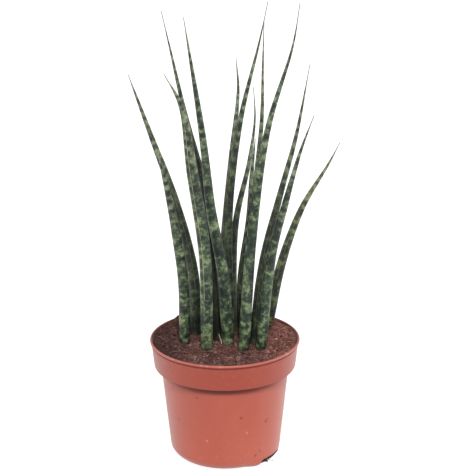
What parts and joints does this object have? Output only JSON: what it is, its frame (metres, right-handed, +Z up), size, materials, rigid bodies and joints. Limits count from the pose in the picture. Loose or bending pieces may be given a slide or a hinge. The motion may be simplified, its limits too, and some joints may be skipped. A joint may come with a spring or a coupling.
{
  "type": "potted mikado snake plant",
  "caption": "Potted snake plant with slender cylindrical upright leaves, cross-banded dark green, in a round tapered nursery pot filled with soil.",
  "frame": {"origin": "middle of the pot's flat resting face, on the pot's axis", "axes": "+Z up along the pot's axis, -Y towards the viewer of the picture, +X to the right"},
  "size_m": [0.171, 0.13, 0.383],
  "materials": {
    "pot_plastic": "satin moulded plastic",
    "potting_soil": "crumbly and fibrous, matt",
    "leaf": "smooth and waxy, mottled cross bands"
  },
  "bodies": {
    "root": {"pot": "pot_plastic", "soil": "potting_soil", "leaf_left_front": "leaf", "leaf_left_back": "leaf", "leaf_middle_left": "leaf", "leaf_tall_left_back": "leaf", "leaf_tall_left_front": "leaf", "leaf_short_back": "leaf", "leaf_tall_middle": "leaf", "leaf_slim_back": "leaf", "leaf_slim_tall": "leaf", "leaf_short_middle": "leaf", "leaf_tall_right": "leaf", "leaf_right_back": "leaf", "leaf_right_front": "leaf", "leaf_right_outer": "leaf"}
  },
  "joints": []
}
